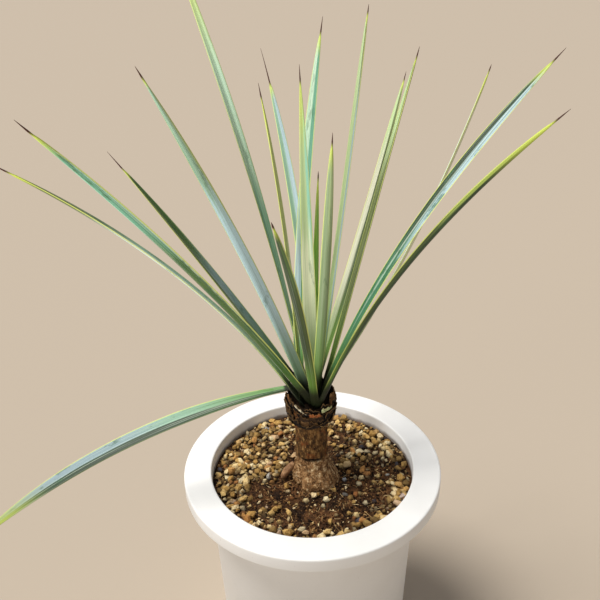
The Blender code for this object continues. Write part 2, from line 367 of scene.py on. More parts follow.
hole_bottom = SOIL_LEVEL - HOLE_DEPTH
outline = [polar(0, 0, hole_bottom), polar(FOOT_RADIUS, 0, hole_bottom)]
outline += [polar(FOOT_RADIUS + (SOIL_RADIUS - FOOT_RADIUS) * k / SOIL_RINGS, 0, SOIL_LEVEL)
            for k in range(SOIL_RINGS + 1)]
outline += [polar(pot_inner_radius(SOIL_FLOOR) - FOOT_CLEARANCE, 0, SOIL_FLOOR), polar(0, 0, SOIL_FLOOR)]
bm = spin_outline(outline, SOIL_SIDES)
for vert in bm.verts:
    radius = vert.co.xy.length
    if radius > FOOT_RADIUS / 2 and vert.co.z > hole_bottom - 0.001:
        hole = hole_radius(atan2(vert.co.y, vert.co.x))
        share = (radius - FOOT_RADIUS) / (SOIL_RADIUS - FOOT_RADIUS)
        vert.co.xy *= (hole + (SOIL_RADIUS - hole) * share) / radius
    if vert.co.z > SOIL_LEVEL - 0.001:
        vert.co.z = ground_height(vert.co.x, vert.co.y)
make_piece("compost", bm, compost_finish(), "soil", "soil")


# Pumice gravel is poured loose on the compost: sharp-cornered little stones in tan, ochre and
# cream, with a few grey ones. It covers the back and left of the pot and the edge all round, up to
# two stones deep, and thins out in front and to the right of the trunk.
GRAIN_PITCH = 0.0042
GRAIN_SHIFT = 0.0014
GRAIN_SMALL = 0.0014
GRAIN_LARGE = 0.0034
GRAIN_SHAPES = 16
GRAIN_CORNERS = 12
GOLDEN_TURN = 2.39996
HANDFUL = 120

# The lower and the upper layer: the share of the cover that it takes, and its height in stones.
GRAIN_LAYERS = ((1.0, 0.30), (0.62, 1.05))

# Single stones that stand out: place on the soil (right, back) and half sizes (right, back, up)
# in mm, and the tint.
KEY_STONES = (
    (-30.8, -6, 1.9, 1.9, 4.2, 0.972), (22.7, -8.2, 2.1, 2, 1.9, 0.952),
    (41.5, -29.6, 2.3, 2, 1.6, 0.995), (37.2, 27.5, 3, 2.2, 1.6, 0.995),
    (19.2, 18, 2.2, 1.7, 1.3, 1), (61.4, 8.1, 2.2, 2.4, 1.6, 0.99),
    (56.5, 37.1, 2.3, 2, 1.7, 0.995), (53.4, -3.6, 2.4, 1, 1.2, 0.965),
    (22.2, -22.8, 2.7, 1.9, 0.9, 0.978), (40.9, 22.1, 3.4, 2.1, 1.6, 0.66),
    (47, 20.5, 2.8, 2, 1.6, 0.62), (29.7, -23.5, 2.8, 2.6, 1.9, 0.83),
    (25.8, -0.6, 2.5, 2.3, 2, 0.8), (-4.5, -28.8, 2.4, 2.4, 1.8, 0.56),
    (9, -28.4, 3.2, 2.6, 2.2, 0.66), (7, -33.5, 1.9, 2.3, 1.5, 0.62),
    (-16.9, -19.6, 2.1, 1.9, 1.7, 0.7), (-35.6, -24, 2.3, 1.8, 1.5, 0.7),
    (34.6, -6, 2.8, 2.9, 2.1, 0.56), (30.5, -5, 1.8, 1.9, 1.4, 0.7),
    (46.5, -5.2, 2.4, 2.2, 1.8, 0.46), (35.6, -31.5, 2.5, 1.9, 1.5, 0.66),
    (15.5, -42, 2, 2.2, 1.6, 0.74), (27.8, -31, 2.2, 2, 1.6, 0.3),
    (-66.5, 4.5, 2.4, 2.2, 1.6, 0.99), (-25, -30, 1.7, 1.6, 1.2, 0.3),
    (-22, -34.5, 2, 2.6, 1.3, 0.2), (-16, -46.5, 1.4, 2.2, 1.3, 0.72),
    (-27.5, -46, 2, 2.4, 1.3, 0.52), (32, -22, 2.2, 2, 1.5, 0.44),
)


def stone_shape(rng, corners):
    """A small stone, as the hull of a few points thrown on a ball."""
    bm = bmesh.new()
    for k in range(corners):
        height = 1 - 2 * (k + 0.5) / corners
        turn = k * GOLDEN_TURN + rng.uniform(-0.35, 0.35)
        point = polar(sqrt(1 - height * height), turn, height)
        bm.verts.new(point * rng.uniform(0.72, 1.12))
    made = bmesh.ops.convex_hull(bm, input=bm.verts)
    inner = [g for g in made["geom_interior"] if isinstance(g, bmesh.types.BMVert)]
    bmesh.ops.delete(bm, geom=inner, context="VERTS")
    return as_mesh("stone_shape", bm)


def pour(bm, heap):
    """Add a mesh in the making to a larger one, with its layers."""
    mesh = as_mesh("handful", bm)
    heap.from_mesh(mesh)
    bpy.data.meshes.remove(mesh)


def scatter(shapes, stones):
    """One mesh of stones, laid by the handful: each has its place, half sizes, a turn and a tint."""
    heap = bmesh.new()
    heap.verts.layers.float.new("tint")
    for first in range(0, len(stones), HANDFUL):
        few = bmesh.new()
        tint_of = few.verts.layers.float.new("tint")
        for k, (spot, sizes, turn, tint) in enumerate(stones[first:first + HANDFUL]):
            before = len(few.verts)
            few.from_mesh(shapes[k % len(shapes)])
            few.verts.ensure_lookup_table()
            fresh = few.verts[before:]
            place = Matrix.Translation(spot) @ turn @ Matrix.Diagonal((*sizes, 1.0))
            bmesh.ops.transform(few, matrix=place, verts=fresh)
            for vert in fresh:
                vert[tint_of] = tint
        pour(few, heap)
    return heap


def random_sizes(rng, size, *spans):
    return tuple(size * rng.uniform(*span) for span in spans)


def random_turn(rng, tilt):
    """A free turn about the upright axis, after a lean of up to tilt radians any way."""
    lean = Matrix.Rotation(rng.uniform(-tilt, tilt), 4, "X")
    lean = lean @ Matrix.Rotation(rng.uniform(-tilt, tilt), 4, "Y")
    return lean @ Matrix.Rotation(rng.uniform(0, tau), 4, "Z")


def gravel_cover(x, y):
    """The share of the ground that gravel hides: the edge, the left and the back most."""
    radius = hypot(x, y)
    clumps = 0.30 * noise.noise(Vector((x, y, 0.3)) * 70)
    edge = 0.95 * ease(radius, 0.055, 0.063)
    left = ease(-x, 0.012, 0.022) * ease(y, -0.014, 0.002)
    left_edge = ease(-x, 0.038, 0.050) * ease(y, -0.042, -0.026)
    back = 0.85 * ease(y, 0.036, 0.050)
    right = 0.50 * ease(x, 0.012, 0.026) * ease(y, -0.006, 0.008)
    front_right = 0.42 * ease(x, 0.020, 0.038) * ease(-y, 0.024, 0.036)
    return max(edge, left, left_edge, back, right, front_right, 0.12) + clumps


def clear_of_key_stones(x, y, size):
    return all(hypot(x * 1000 - right, y * 1000 - back) > max(wide, deep) * 0.8 + size * 700
               for right, back, wide, deep, up, tint in KEY_STONES)


def lay_gravel(rng):
    stones = []
    row_step = GRAIN_PITCH * sqrt(0.75)
    rows = int(SOIL_RADIUS / row_step) + 2
    for layer, (keep, lift) in enumerate(GRAIN_LAYERS):
        for row in range(-rows, rows + 1):
            for col in range(-2 * rows, 2 * rows):
                x = GRAIN_PITCH * (col + row / 2 + 0.5 * layer) + rng.uniform(-1, 1) * GRAIN_SHIFT
                y = row_step * (row + 0.4 * layer) + rng.uniform(-1, 1) * GRAIN_SHIFT
                size = GRAIN_SMALL + (GRAIN_LARGE - GRAIN_SMALL) * rng.random() ** 1.5
                tint = rng.random() * (0.90 if rng.random() < 0.965 else 1.0)
                turn = random_turn(rng, 0.9)
                sizes = random_sizes(rng, size, (1.0, 1.45), (0.75, 1.0), (0.6, 0.9))
                chance = rng.random()
                if (hole_radius(atan2(y, x)) + size < hypot(x, y) < SOIL_RADIUS - size * 1.05
                        and chance <= gravel_cover(x, y) * keep and clear_of_key_stones(x, y, size)):
                    z = ground_height(x, y) + sizes[2] * lift
                    stones.append((Vector((x, y, z)), sizes, turn, tint))
    for right, back, wide, deep, up, tint in KEY_STONES:
        x, y = right / 1000, back / 1000
        z = ground_height(x, y) + up / 1000 * 0.6
        stones.append((Vector((x, y, z)), (wide / 1000, deep / 1000, up / 1000),
                       Matrix.Rotation(rng.uniform(-0.3, 0.3), 4, "Z"), tint))
    return stones


def pumice_finish():
    """Porous stone, tinted stone by stone, with pits, and painted shade low on every stone, near the
    compost.
    """
    skin = Finish("pumice")
    colour = skin.ramp(
        skin.attribute("tint"),
        (0.00, 116, 92, 52), (0.08, 164, 132, 76), (0.22, 190, 148, 80), (0.36, 218, 178, 106),
        (0.50, 234, 202, 138), (0.66, 250, 232, 186), (0.77, 212, 166, 96), (0.83, 172, 108, 56),
        (0.86, 206, 166, 100), (0.925, 222, 196, 176), (0.95, 130, 138, 148), (0.965, 242, 238, 226),
        (0.978, 150, 148, 140), (0.99, 70, 76, 92), (1.0, 34, 32, 34))
    mottle = skin.noise(420.0, 4.0, 0.7).step(0.54, 0.30)
    pits = skin.noise(1900.0, 3.0).step(0.44, 0.30)
    # Painted shade: the low part of every stone darkens towards the compost, where the stones shade one
    # another.
    painted_gap_shade = (skin.height() - SOIL_LEVEL).step(0.0034, 0.0006)
    colour = skin.layered(colour, (mottle * 0.6, 112, 74, 38), (pits * 0.7, 64, 44, 24),
                          (painted_gap_shade * 0.8, 44, 29, 16))
    return skin.done(colour, 0.86, 0.3, skin.noise(1300.0, 4.0, 0.7), 0.0006, 0.8)


stone_rng = random.Random(41)
grain_shapes = [stone_shape(stone_rng, GRAIN_CORNERS) for k in range(GRAIN_SHAPES)]
make_piece("pumice_gravel", scatter(grain_shapes, lay_gravel(random.Random(5))), pumice_finish(),
           "soil", sharp=20)


# Crumbs of bark and peat lie loose on the compost and between the stones, with thin ginger
# fibres and slivers of wood among them.
CRUMB_COUNT = 6500
CRUMB_LEAST = 0.00035
CRUMB_SPREAD = 0.0010
CRUMB_SHAPES = 6
CRUMB_CORNERS = 8
FIBRE_COUNT = 620


def crumb_finish():
    """Crumbs of compost: bark, peat and a few ginger fibres, each its own brown."""
    skin = Finish("crumbs")
    colour = skin.ramp(skin.attribute("tint"), (0.0, 18, 12, 8), (0.42, 56, 37, 23),
                       (0.72, 98, 67, 40), (0.86, 146, 106, 64), (0.95, 214, 178, 120),
                       (1.0, 242, 220, 172))
    return skin.done(colour, 0.95, 0.15, skin.noise(2200.0), 0.0004, 0.6)


def random_spot(rng, inner, outer):
    """A spot on the compost, from so far beyond the trunk's foot to the outer radius."""
    turn = rng.uniform(0, tau)
    spot = polar(sqrt(rng.uniform((hole_radius(turn) + inner) ** 2, outer ** 2)), turn, 0.0)
    spot.z = ground_height(spot.x, spot.y)
    return spot


def lay_crumbs(rng):
    crumbs = []
    for k in range(CRUMB_COUNT):
        size = CRUMB_LEAST + CRUMB_SPREAD * rng.random() ** 2
        sizes = random_sizes(rng, size, (1.0, 1.7), (0.7, 1.0), (0.5, 0.8))
        spot = random_spot(rng, -0.001, SOIL_RADIUS - 0.0012)
        spot.z += sizes[2] * 0.4
        crumbs.append((spot, sizes, random_turn(rng, 0.8), rng.random()))
    for k in range(FIBRE_COUNT):
        width = rng.uniform(0.00012, 0.0003)
        spot = random_spot(rng, 0.003, SOIL_RADIUS - 0.0055)
        spot.z += 0.0007
        crumbs.append((spot, (rng.uniform(0.0012, 0.0040), width, width), random_turn(rng, 0.25),
                       rng.uniform(0.5, 1.0)))
    return crumbs


crumb_shapes = [stone_shape(stone_rng, CRUMB_CORNERS) for k in range(CRUMB_SHAPES)]
make_piece("compost_crumbs", scatter(crumb_shapes, lay_crumbs(random.Random(6))), crumb_finish(),
           "soil", sharp=50)


# The trunk is a short woody stem in brown bark: a fibrous foot that flares out into the compost,
# a narrow neck with a crease across its front, darkened by painted shade, and a wider crown,
# hollow on top, which grew the leaves.
TRUNK_SIDES = 240
TRUNK_STEPS = 8
FLARE_TOP = 0.009
SPREAD_ANGLE = radians(262)
SPREAD_REACH = 0.0022
SPREAD_HEIGHT = -0.0035
SPREAD_BAND = 0.011
CREASE_ANGLE = radians(273)
CREASE_HEIGHT = 0.0100
CREASE_DEPTH = 0.0018
CREASE_WIDTH = 0.0010
BARK_FROM = 0.009
CROWN_RADIUS = 0.0152
CROWN_RIM = 0.0545

# The trunk's outline from its hidden end to the middle of its crown: radius, and height above the
# pot's rim.
TRUNK_PROFILE = [
    (0.0, -0.052), (0.019, -0.052), (0.0204, -0.024), (0.0204, -0.0112), (0.019, -0.0086),
    (0.0178, -0.0068), (0.0161, -0.004), (0.0143, -0.0012), (0.0122, 0.003), (0.0114, 0.0075),
    (0.011, 0.0118), (0.0109, 0.016), (0.0111, 0.02), (0.0109, 0.026), (0.0112, 0.031),
    (0.012, 0.036), (0.0138, 0.0405), (0.0145, 0.045), (0.0142, 0.049), (0.0148, 0.052),
    (CROWN_RADIUS, CROWN_RIM), (0.014, 0.055), (0.011, 0.053), (0.0, 0.0525),
]
CROWN_TOP = 0.0655
CROWN_FALL = 18.0


def crown_height(radius):
    """The height of the low dome that the leaves' roots stand on."""
    return POT_HEIGHT + CROWN_TOP - CROWN_FALL * radius * radius


def stem_radius(height):
    """The trunk's radius at a height above the pot's rim, up to its crown's edge."""
    for (low_radius, low), (high_radius, high) in zip(TRUNK_PROFILE[1:], TRUNK_PROFILE[2:]):
        if low <= height <= high:
            return low_radius + (high_radius - low_radius) * (height - low) / (high - low)
    return CROWN_RADIUS


def trunk_outline():
    """The profile with every stretch cut into short steps."""
    points = [polar(radius, 0, POT_HEIGHT + height) for radius, height in TRUNK_PROFILE]
    outline = [points[0]]
    for first, second in zip(points, points[1:]):
        outline += [first.lerp(second, (k + 1) / TRUNK_STEPS) for k in range(TRUNK_STEPS)]
    return outline


def foot_shape(angle, height, radius):
    """A radius of the profile, cut back on the left and spread to the front at the foot."""
    if height > FLARE_TOP:
        return radius
    spread = max(0.0, 1 - abs(height - SPREAD_HEIGHT) / SPREAD_BAND)
    spread *= SPREAD_REACH * max(0.0, cos(angle - SPREAD_ANGLE)) * ease(height, -0.0108, -0.008)
    return radius - (radius - NECK_RADIUS) * (1 - foot_flare(angle)) + spread


def crease_depth(angle, height):
    """0 to 1: the crease runs level across the front of the neck, and fades out at its ends."""
    across = 1 - ease(abs(angle - CREASE_ANGLE), 0.42, 0.85)
    sway = 0.00025 * sin(angle * 7)
    return across * exp(-((height - CREASE_HEIGHT - sway) / CREASE_WIDTH) ** 4)


def bark_relief(point):
    """How far the bark stands out at a point: flakes up the neck, clods and fibres on the foot."""
    height = point.z - POT_HEIGHT
    angle = atan2(point.y, point.x) % tau
    turn = polar(1.0, angle, 0.0)
    foot = 1 - ease(height, 0.006, 0.010)
    flakes = wave(turn.x * 4.0, turn.y * 4.0, height * 120)
    cracks = wave(turn.x * 12.0, turn.y * 12.0, height * 150)
    rings = wave(turn.x * 1.4, turn.y * 1.4, height * 480)
    clods = noise.fractal(point * 230, 0.7, 2.2, 5)
    neck = 0.0004 * flakes + 0.00035 * cracks + 0.0003 * rings
    crease = -CREASE_DEPTH * crease_depth(angle, height)
    return neck * (1 - foot) + 0.0010 * clods * foot + crease


def bark_finish():
    """Brown bark, pale crumbly fibre on the foot and russet and umber up the neck, with painted shade:
    black at the crown under the leaves, dark in the crease and hollows.
    """
    skin = Finish("bark")
    height = skin.height() - POT_HEIGHT
    upright = skin.drawn_out(0.35)
    streaks = skin.noise(380.0, 6.0, 0.75, upright)
    mottle = skin.noise(330.0, 6.0, 0.75)
    flecks = skin.noise(430.0, 5.0, 0.75, skin.drawn_out(0.6))
    rust = skin.noise(105.0, 5.0, 0.75)
    neck = skin.layered(
        skin.ramp(streaks, (0.34, 32, 21, 10), (0.45, 78, 53, 27), (0.55, 122, 86, 47),
                  (0.66, 176, 136, 84)),
        (flecks.step(0.48, 0.36) * 0.7, 34, 22, 11), (flecks.step(0.57, 0.66) * 0.7, 206, 166, 104),
        (rust.step(0.55, 0.64) * 0.65, 138, 74, 34), (rust.step(0.44, 0.34) * 0.6, 50, 48, 24))
    foot = skin.ramp(mottle, (0.34, 46, 30, 16), (0.44, 122, 86, 51), (0.54, 184, 140, 92),
                     (0.64, 248, 224, 176))
    # Painted shade: nearly black from 36 to 47 mm above the rim, under the leaves, and dark in the crease
    # and where the bark sinks in.
    colour = skin.layered(
        skin.blend(height.step(0.0105, 0.0085), neck, foot),
        (height.step(0.036, 0.047) * 0.9, 30, 20, 12), (skin.attribute("hollow"), 16, 11, 7))
    return skin.done(colour, 0.88, 0.2, skin.noise(1300.0, 5.0, 0.75, upright), 0.0009)


bm = spin_outline(trunk_outline(), TRUNK_SIDES)
recess_shade_of = bm.verts.layers.float.new("hollow")
for vert in bm.verts:
    radius = vert.co.xy.length
    height = vert.co.z - POT_HEIGHT
    if radius > BARK_FROM:
        relief = bark_relief(vert.co) * ease(height, -0.0112, -0.0100)
        angle = atan2(vert.co.y, vert.co.x) % tau
        # Painted shade for the bark's colour: darkest in the crease, and dark where the bark sinks in.
        hollow = max(crease_depth(angle, height) * 1.1, ease(-relief, 0.0003, 0.0009) * 0.8)
        vert[recess_shade_of] = min(1.0, hollow)
        vert.co.xy *= (foot_shape(angle, height, radius) + relief) / radius
make_piece("trunk_bark", bm, bark_finish(), "trunk", "trunk", sharp=180)


# Old fibres and slivers of bark cling to the foot of the trunk and lie down its slope. They are
# what is left of the roots' outer skin, and stand a little proud of it.
SLIVER_COUNT = 900


def foot_surface(angle, height):
    """The point on the foot's surface at that angle and height, without its relief."""
    return polar(foot_shape(angle, height, stem_radius(height)), angle, POT_HEIGHT + height)


def lie_along(start, end, twist):
    """The turn that lays a long piece along the line from start to end."""
    along = (end - start).to_track_quat("X", "Z").to_matrix().to_4x4()
    return along @ Matrix.Rotation(twist, 4, "X")


def lay_slivers(rng):
    slivers = []
    for k in range(SLIVER_COUNT):
        angle = rng.uniform(0, tau)
        height = rng.uniform(-0.0098, 0.0090)
        here = foot_surface(angle, height)
        down = foot_surface(angle + rng.gauss(0, 0.16), height - 0.0022)
        length = rng.uniform(0.0006, 0.0021)
        width = rng.uniform(0.00010, 0.00028)
        spot = here + here.normalized() * 0.0002
        turn = lie_along(here, down, rng.uniform(0, 3))
        slivers.append((spot, (length, width, width), turn, rng.random()))
    return slivers


def sliver_finish():
    """Dry root skin in straw, tan and brown."""
    skin = Finish("root_skin")
    colour = skin.ramp(skin.attribute("tint"), (0.0, 78, 52, 30), (0.4, 132, 94, 58),
                       (0.75, 182, 138, 92), (1.0, 228, 196, 148))
    return skin.done(colour, 0.9, 0.2, skin.noise(2600.0), 0.0003, 0.6)


root_skin = sliver_finish()
make_piece("foot_slivers", scatter(crumb_shapes, lay_slivers(random.Random(8))), root_skin, "trunk",
           sharp=50)
for shape in grain_shapes + crumb_shapes:
    bpy.data.meshes.remove(shape)


# Roots leave the foot: a short blunt one stands out on the left, smooth and reddish brown, and
# thin pale ones run out over the compost and dive into it.
UP = Vector((0.0, 0.0, 1.0))
STUB_START = Vector((-0.0128, -0.0004, POT_HEIGHT - 0.0002))
STUB_END = Vector((-0.0218, -0.0060, POT_HEIGHT - 0.0088))
STUB_RADIUS = 0.0025
STUB_RINGS = 22
THREAD_RINGS = 18
FOOT_SHARE = 0.45
THREAD_ANGLES = (205, 228, 243, 249, 268, 291, 312, 322, 345, 20)


def make_bar(rings, sides):
    """A closed round bar of radius 1 up the Z axis from 0 to 1, cut into rings."""
    bm = bmesh.new()
    bmesh.ops.create_cone(bm, cap_ends=True, segments=sides, radius1=1, radius2=1, depth=1,
                          matrix=Matrix.Translation((0.0, 0.0, 0.5)))
    rails = [e for e in bm.edges if abs(e.verts[0].co.z - e.verts[1].co.z) > 0.5]
    bmesh.ops.subdivide_edges(bm, edges=rails, cuts=rings - 1, use_grid_fill=True)
    bmesh.ops.poke(bm, faces=[f for f in bm.faces if len(f.verts) > 4])
    return bm


def sweep_bar(bm, middle, thickness):
    """Bend a bar along middle(share), with a radius of thickness(share)."""
    for vert in bm.verts:
        share = min(1.0, max(0.0, vert.co.z))
        here = middle(share)
        ahead = (middle(share + 0.01) - middle(share - 0.01)).normalized()
        level = ahead.cross(UP).normalized()
        vert.co = here + (level * vert.co.x + level.cross(ahead) * vert.co.y) * thickness(share)


def stub_finish():
    """Smooth reddish root skin, clouded with a dusty tan."""
    skin = Finish("root_stub")
    colour = skin.ramp(skin.noise(260.0, 5.0, 0.65), (0.32, 88, 60, 36), (0.5, 148, 108, 74),
                       (0.66, 194, 152, 108))
    return skin.done(colour, 0.7, 0.3, skin.noise(1500.0), 0.0003, 0.7)


def make_stub():
    bm = make_bar(STUB_RINGS, 20)
    along = STUB_END - STUB_START

    def middle(share):
        return STUB_START + along * share + UP * (0.0009 * sin(pi * share))

    def thickness(share):
        return STUB_RADIUS * (0.68 + 0.32 * sin(pi * share)) * sqrt(
            max(0.0, 1 - max(0.0, share * 2 - 1) ** 6))

    sweep_bar(bm, middle, thickness)
    for vert in bm.verts:
        vert.co += Vector((0.3, 0.3, 1.0)) * 0.0003 * noise.noise(vert.co * 380)
    make_piece("root_stub", bm, stub_finish(), "trunk", sharp=180)


def thread_path(rng, angle):
    """A thin root's way: down the foot's slope, out over the compost and into it."""
    reach = rng.uniform(0.024, 0.030)
    bow = rng.uniform(-0.35, 0.35)

    def middle(share):
        turn = angle + bow * share * share
        if share < FOOT_SHARE:
            height = -0.001 - 0.0085 * share / FOOT_SHARE
            return foot_surface(turn, height) + UP * 0.0002
        out = (share - FOOT_SHARE) / (1 - FOOT_SHARE)
        edge = foot_surface(turn, -0.0095).xy.length
        spot = polar(edge + (reach - edge) * out, turn, 0.0)
        spot.z = ground_height(spot.x, spot.y) + 0.0006 - 0.0014 * out ** 3
        return spot

    return middle


def make_threads(rng, material):
    bm = bmesh.new()
    tint_of = bm.verts.layers.float.new("tint")
    for degrees in THREAD_ANGLES:
        bar = make_bar(THREAD_RINGS, 8)
        girth = rng.uniform(0.00022, 0.00042)
        sweep_bar(bar, thread_path(rng, radians(degrees)), lambda share: girth * (1.15 - 0.8 * share))
        pour(bar, bm)
    for vert in bm.verts:
        vert[tint_of] = 0.72 + 0.25 * noise.noise(vert.co * 300)
    make_piece("root_threads", bm, material, "trunk", sharp=180)


make_stub()
make_threads(random.Random(12), root_skin)


# Stumps of old leaves ring the crown: dry scales, torn and nearly black, in overlapping rows that
# stand off the stem. A few near the top were cut lately and show a pale or rusty face.
SCALE_THICK = 0.0006
SCALE_LIFT = 0.0002
LIP_ANGLE = radians(284)
LIP_DROP = 0.0035
FRESH_TINT = 0.85
FRESH_LIFT = 0.0020

# One row a tier: the foot and the top of its scales above the rim, how many there are, how wide
# each is in radians, how far it leans out, and a turn of the whole tier in degrees. The top tiers
# are lower by LIP_DROP at LIP_ANGLE, in front, where the crown's edge is broken away.
SCALE_TIERS = (
    (0.0385, 0.0435, 8, 0.95, 0.0016, 10),
    (0.04, 0.0465, 8, 0.95, 0.0022, 31),
    (0.043, 0.05, 9, 0.9, 0.0024, 4),
    (0.046, 0.053, 9, 0.86, 0.0022, 22),
    (0.0485, 0.056, 9, 0.8, 0.002, 8),
    (0.0515, 0.0592, 9, 0.7, 0.0014, 28),
)

# Single scales: angle in degrees, foot and top above the rim, width in radians, how far it leans
# out, how much its right end is higher than its left, and the tint. The fresh ones, over
# FRESH_TINT, stand further out than the dark ones round them.
SINGLE_SCALES = (
    (245, 0.055, 0.0578, 0.44, 0.0014, -0.0044, 0.93), (308, 0.0535, 0.0572, 0.5, 0.0014, 0.0006, 0.97),
    (279, 0.0505, 0.0545, 0.44, 0.0016, -0.0012, 0.86), (306, 0.0402, 0.0411, 0.5, 0.0012, -0.0036, 0.9),
    (207, 0.053, 0.06, 0.34, 0.001, -0.005, 0.83), (224, 0.051, 0.06, 0.4, 0.0016, -0.004, 0.4),
    (332, 0.054, 0.063, 0.36, 0.0008, 0.0008, 0.82), (346, 0.051, 0.059, 0.4, 0.0012, 0, 0.45),
    (194, 0.043, 0.052, 0.6, 0.0026, 0, 0.2), (214, 0.041, 0.05, 0.5, 0.0024, -0.001, 0.35),
    (352, 0.044, 0.052, 0.5, 0.0024, 0, 0.15), (318, 0.044, 0.051, 0.5, 0.0022, 0, 0.3),
    (232, 0.044, 0.052, 0.4, 0.001, -0.003, 0.83), (160, 0.056, 0.064, 0.5, 0.001, 0, 0.3),
    (70, 0.055, 0.063, 0.6, 0.001, 0, 0.5), (20, 0.054, 0.0605, 0.55, 0.0006, 0, 0.3),
)


def add_scale(bm, layers, angle, foot, top, width, lean, slope, tint, rng, lift=SCALE_LIFT):
    """One dry scale that stands off the stem, torn along its top, with its tint and height kept."""
    tint_of, edge_of = layers
    seed = rng.uniform(0, 50)
    made = bmesh.ops.create_grid(bm, x_segments=12, y_segments=8, size=1.0)["verts"]
    for vert in made:
        u, v = vert.co.x, (vert.co.y + 1) / 2
        torn = 0.50 * wave(u * 2.2, seed, 0.0)
        torn += 0.34 * wave(u * 8, seed, 1.0)
        height = foot + (top - foot) * v * (1 + torn - 0.20 * u * u) + slope * u / 2
        turn = angle + u * width / 2 * (1 - 0.18 * v * v) + 0.07 * wave(v * 3, seed, 4.0)
        crumple = min(0.0007, (top - foot) / 10) * wave(u * 2.6, v * 3.0, seed)
        radius = stem_radius(min(height, CROWN_RIM)) + lift + lean * v + crumple
        vert.co = polar(radius, turn, POT_HEIGHT + height)
        vert[tint_of] = tint
        vert[edge_of] = v
    faces = list({face for vert in made for face in vert.link_faces})
    for item in bmesh.ops.extrude_face_region(bm, geom=faces)["geom"]:
        if isinstance(item, bmesh.types.BMVert):
            item.co.xy *= 1 - SCALE_THICK / item.co.xy.length


def scale_finish():
    """Dry scales: nearly black with brown and straw among them, paler where they are torn."""
    skin = Finish("dry_scales")
    colour = skin.ramp(
        skin.attribute("tint"), (0.0, 14, 10, 7), (0.45, 32, 22, 13), (0.70, 60, 41, 23),
        (0.82, 104, 72, 38), (0.86, 176, 100, 52), (0.90, 196, 164, 108), (0.93, 232, 222, 190),
        (0.97, 196, 206, 152))
    streaks = skin.noise(600.0, 5.0, 0.7, skin.drawn_out(0.3))
    colour = skin.layered(
        colour, (streaks.step(0.52, 0.36) * 0.75, 14, 9, 6), (streaks.step(0.54, 0.68) * 0.6, 112, 82, 50),
        (skin.attribute("edge").step(0.86, 1.0) * 0.5, 150, 114, 70))
    return skin.done(colour, 0.85, 0.25, streaks, 0.0006, 0.8)


def make_scales(rng):
    bm = bmesh.new()
    layers = [bm.verts.layers.float.new(name) for name in ("tint", "edge")]
    for foot, top, count, width, lean, turn in SCALE_TIERS:
        for k in range(count):
            angle = radians(turn) + tau * (k + rng.uniform(-0.2, 0.2)) / count
            lower = foot + rng.uniform(-1, 1) * 0.0008
            upper = top + rng.uniform(-1, 0.6) * 0.0014
            upper -= LIP_DROP * max(0.0, cos(angle - LIP_ANGLE)) ** 4 * ease(top, 0.050, 0.059)
            add_scale(bm, layers, angle, lower, upper, width * rng.uniform(0.8, 1.1),
                      lean * rng.uniform(0.3, 1.5), rng.uniform(-0.003, 0.003),
                      rng.random() ** 2.2 * 0.8, rng)
    for degrees, foot, top, width, lean, slope, tint in SINGLE_SCALES:
        add_scale(bm, layers, radians(degrees), foot, top, width, lean, slope, tint, rng,
                  FRESH_LIFT if tint > FRESH_TINT else SCALE_LIFT)
    make_piece("dry_scales", bm, scale_finish(), "trunk", sharp=50)


make_scales(random.Random(3))


# The leaves are stiff channelled swords, thick along the middle and thin at the margins. Each is
# green under a pale blue wax that rubs off in patches, edged yellow, ends in a dark spine, and
# widens at its root into a sheath that clasps the crown. Their colours also carry painted light and
# shade: a lit half of the channel beside a shaded one, and darker faces turned from the light.
LEAF_RINGS = 120
LEAF_SIDES = 16
CAD_CELLS = 16
CHANNEL_RISE = 0.42
FOLD_ROUND = 0.14
ROOT_WIDTH = 0.80
ROOT_SHARE = 0.15
TAPER_CURVE = 0.8
TIP_WIDTH = 0.0010
BLADE_MIDDLE = 0.0011
BLADE_ROOT = 0.0020
SPINE_RADIUS = 0.00042

# An inner root widens by SHEATH_FLARE into a sheath that goes SHEATH_DEPTH down into the crown. A
# root on the crown's edge, so far from the middle in mm, is folded narrower by ROOT_FOLD instead.
SHEATH_DEPTH = 0.013
SHEATH_SHARE = 0.10
SHEATH_FLARE = 0.40
ROOT_FOLD = 0.42
FOLD_SHARE = 0.34
CROWN_EDGE_MM = (14.0, 16.0)

# One row a leaf, from leaf_01 to leaf_19. Angles are in degrees and lengths in mm: where the root
# stands on the crown (angle, distance from the middle), the way the blade heads, its lean from
# upright at the root and at the tip, its length and width, its roll about its own length at root
# and tip, and how late it tapers (2 is early and even, 6 is late and blunt).
LEAVES = (
    (112, 12.5, 149, 12, 23, 285, 7.4, 35, -55, 4),
    (278, 13.8, 264, 31, 48, 231, 6.2, -15, -20, 4.5),
    (252, 8.5, 228, 21, 30, 244, 7.6, 30, 45, 3),
    (152, 12.5, 176, 31, 37, 191, 7.8, -20, -25, 3),
    (250, 12, 229, 33, 42, 265, 7.5, 15, 20, 6),
    (210, 13, 204, 29, 54, 235, 8, -20, 5, 5),
    (185, 16, 200, 89, 128, 225, 10, -20, -45, 4),
    (88, 7, 113, 1, 40, 221, 7, -15, -15, 4),
    (202, 8, 151, 2, 11, 197, 5, 5, 5, 4),
    (310, 1.5, 126, 1, 3, 205, 9.5, -40, -40, 2),
    (150, 8.5, 60, 1, 18, 230, 7.5, 10, 10, 5),
    (40, 3.5, 58, 3, 3, 144, 5.8, -10, -10, 3),
    (305, 7, 291, 11, 6, 179, 6.5, -10, -10, 5),
    (50, 9.5, 62, 19, 15, 241, 5.8, -25, -25, 6),
    (15, 11, 30, 17, 17, 220, 8, -15, -15, 5),
    (70, 13.5, 59, 40, 30, 224, 8, -10, -10, 5),
    (34, 15.2, 24, 38, 19, 228, 7.5, -35, -35, 6),
    (338, 10.5, 349, 20, 40, 250, 7.4, 20, 60, 6),
    (310, 14, 326, 22, 45, 240, 6.8, -5, -40, 6),
)

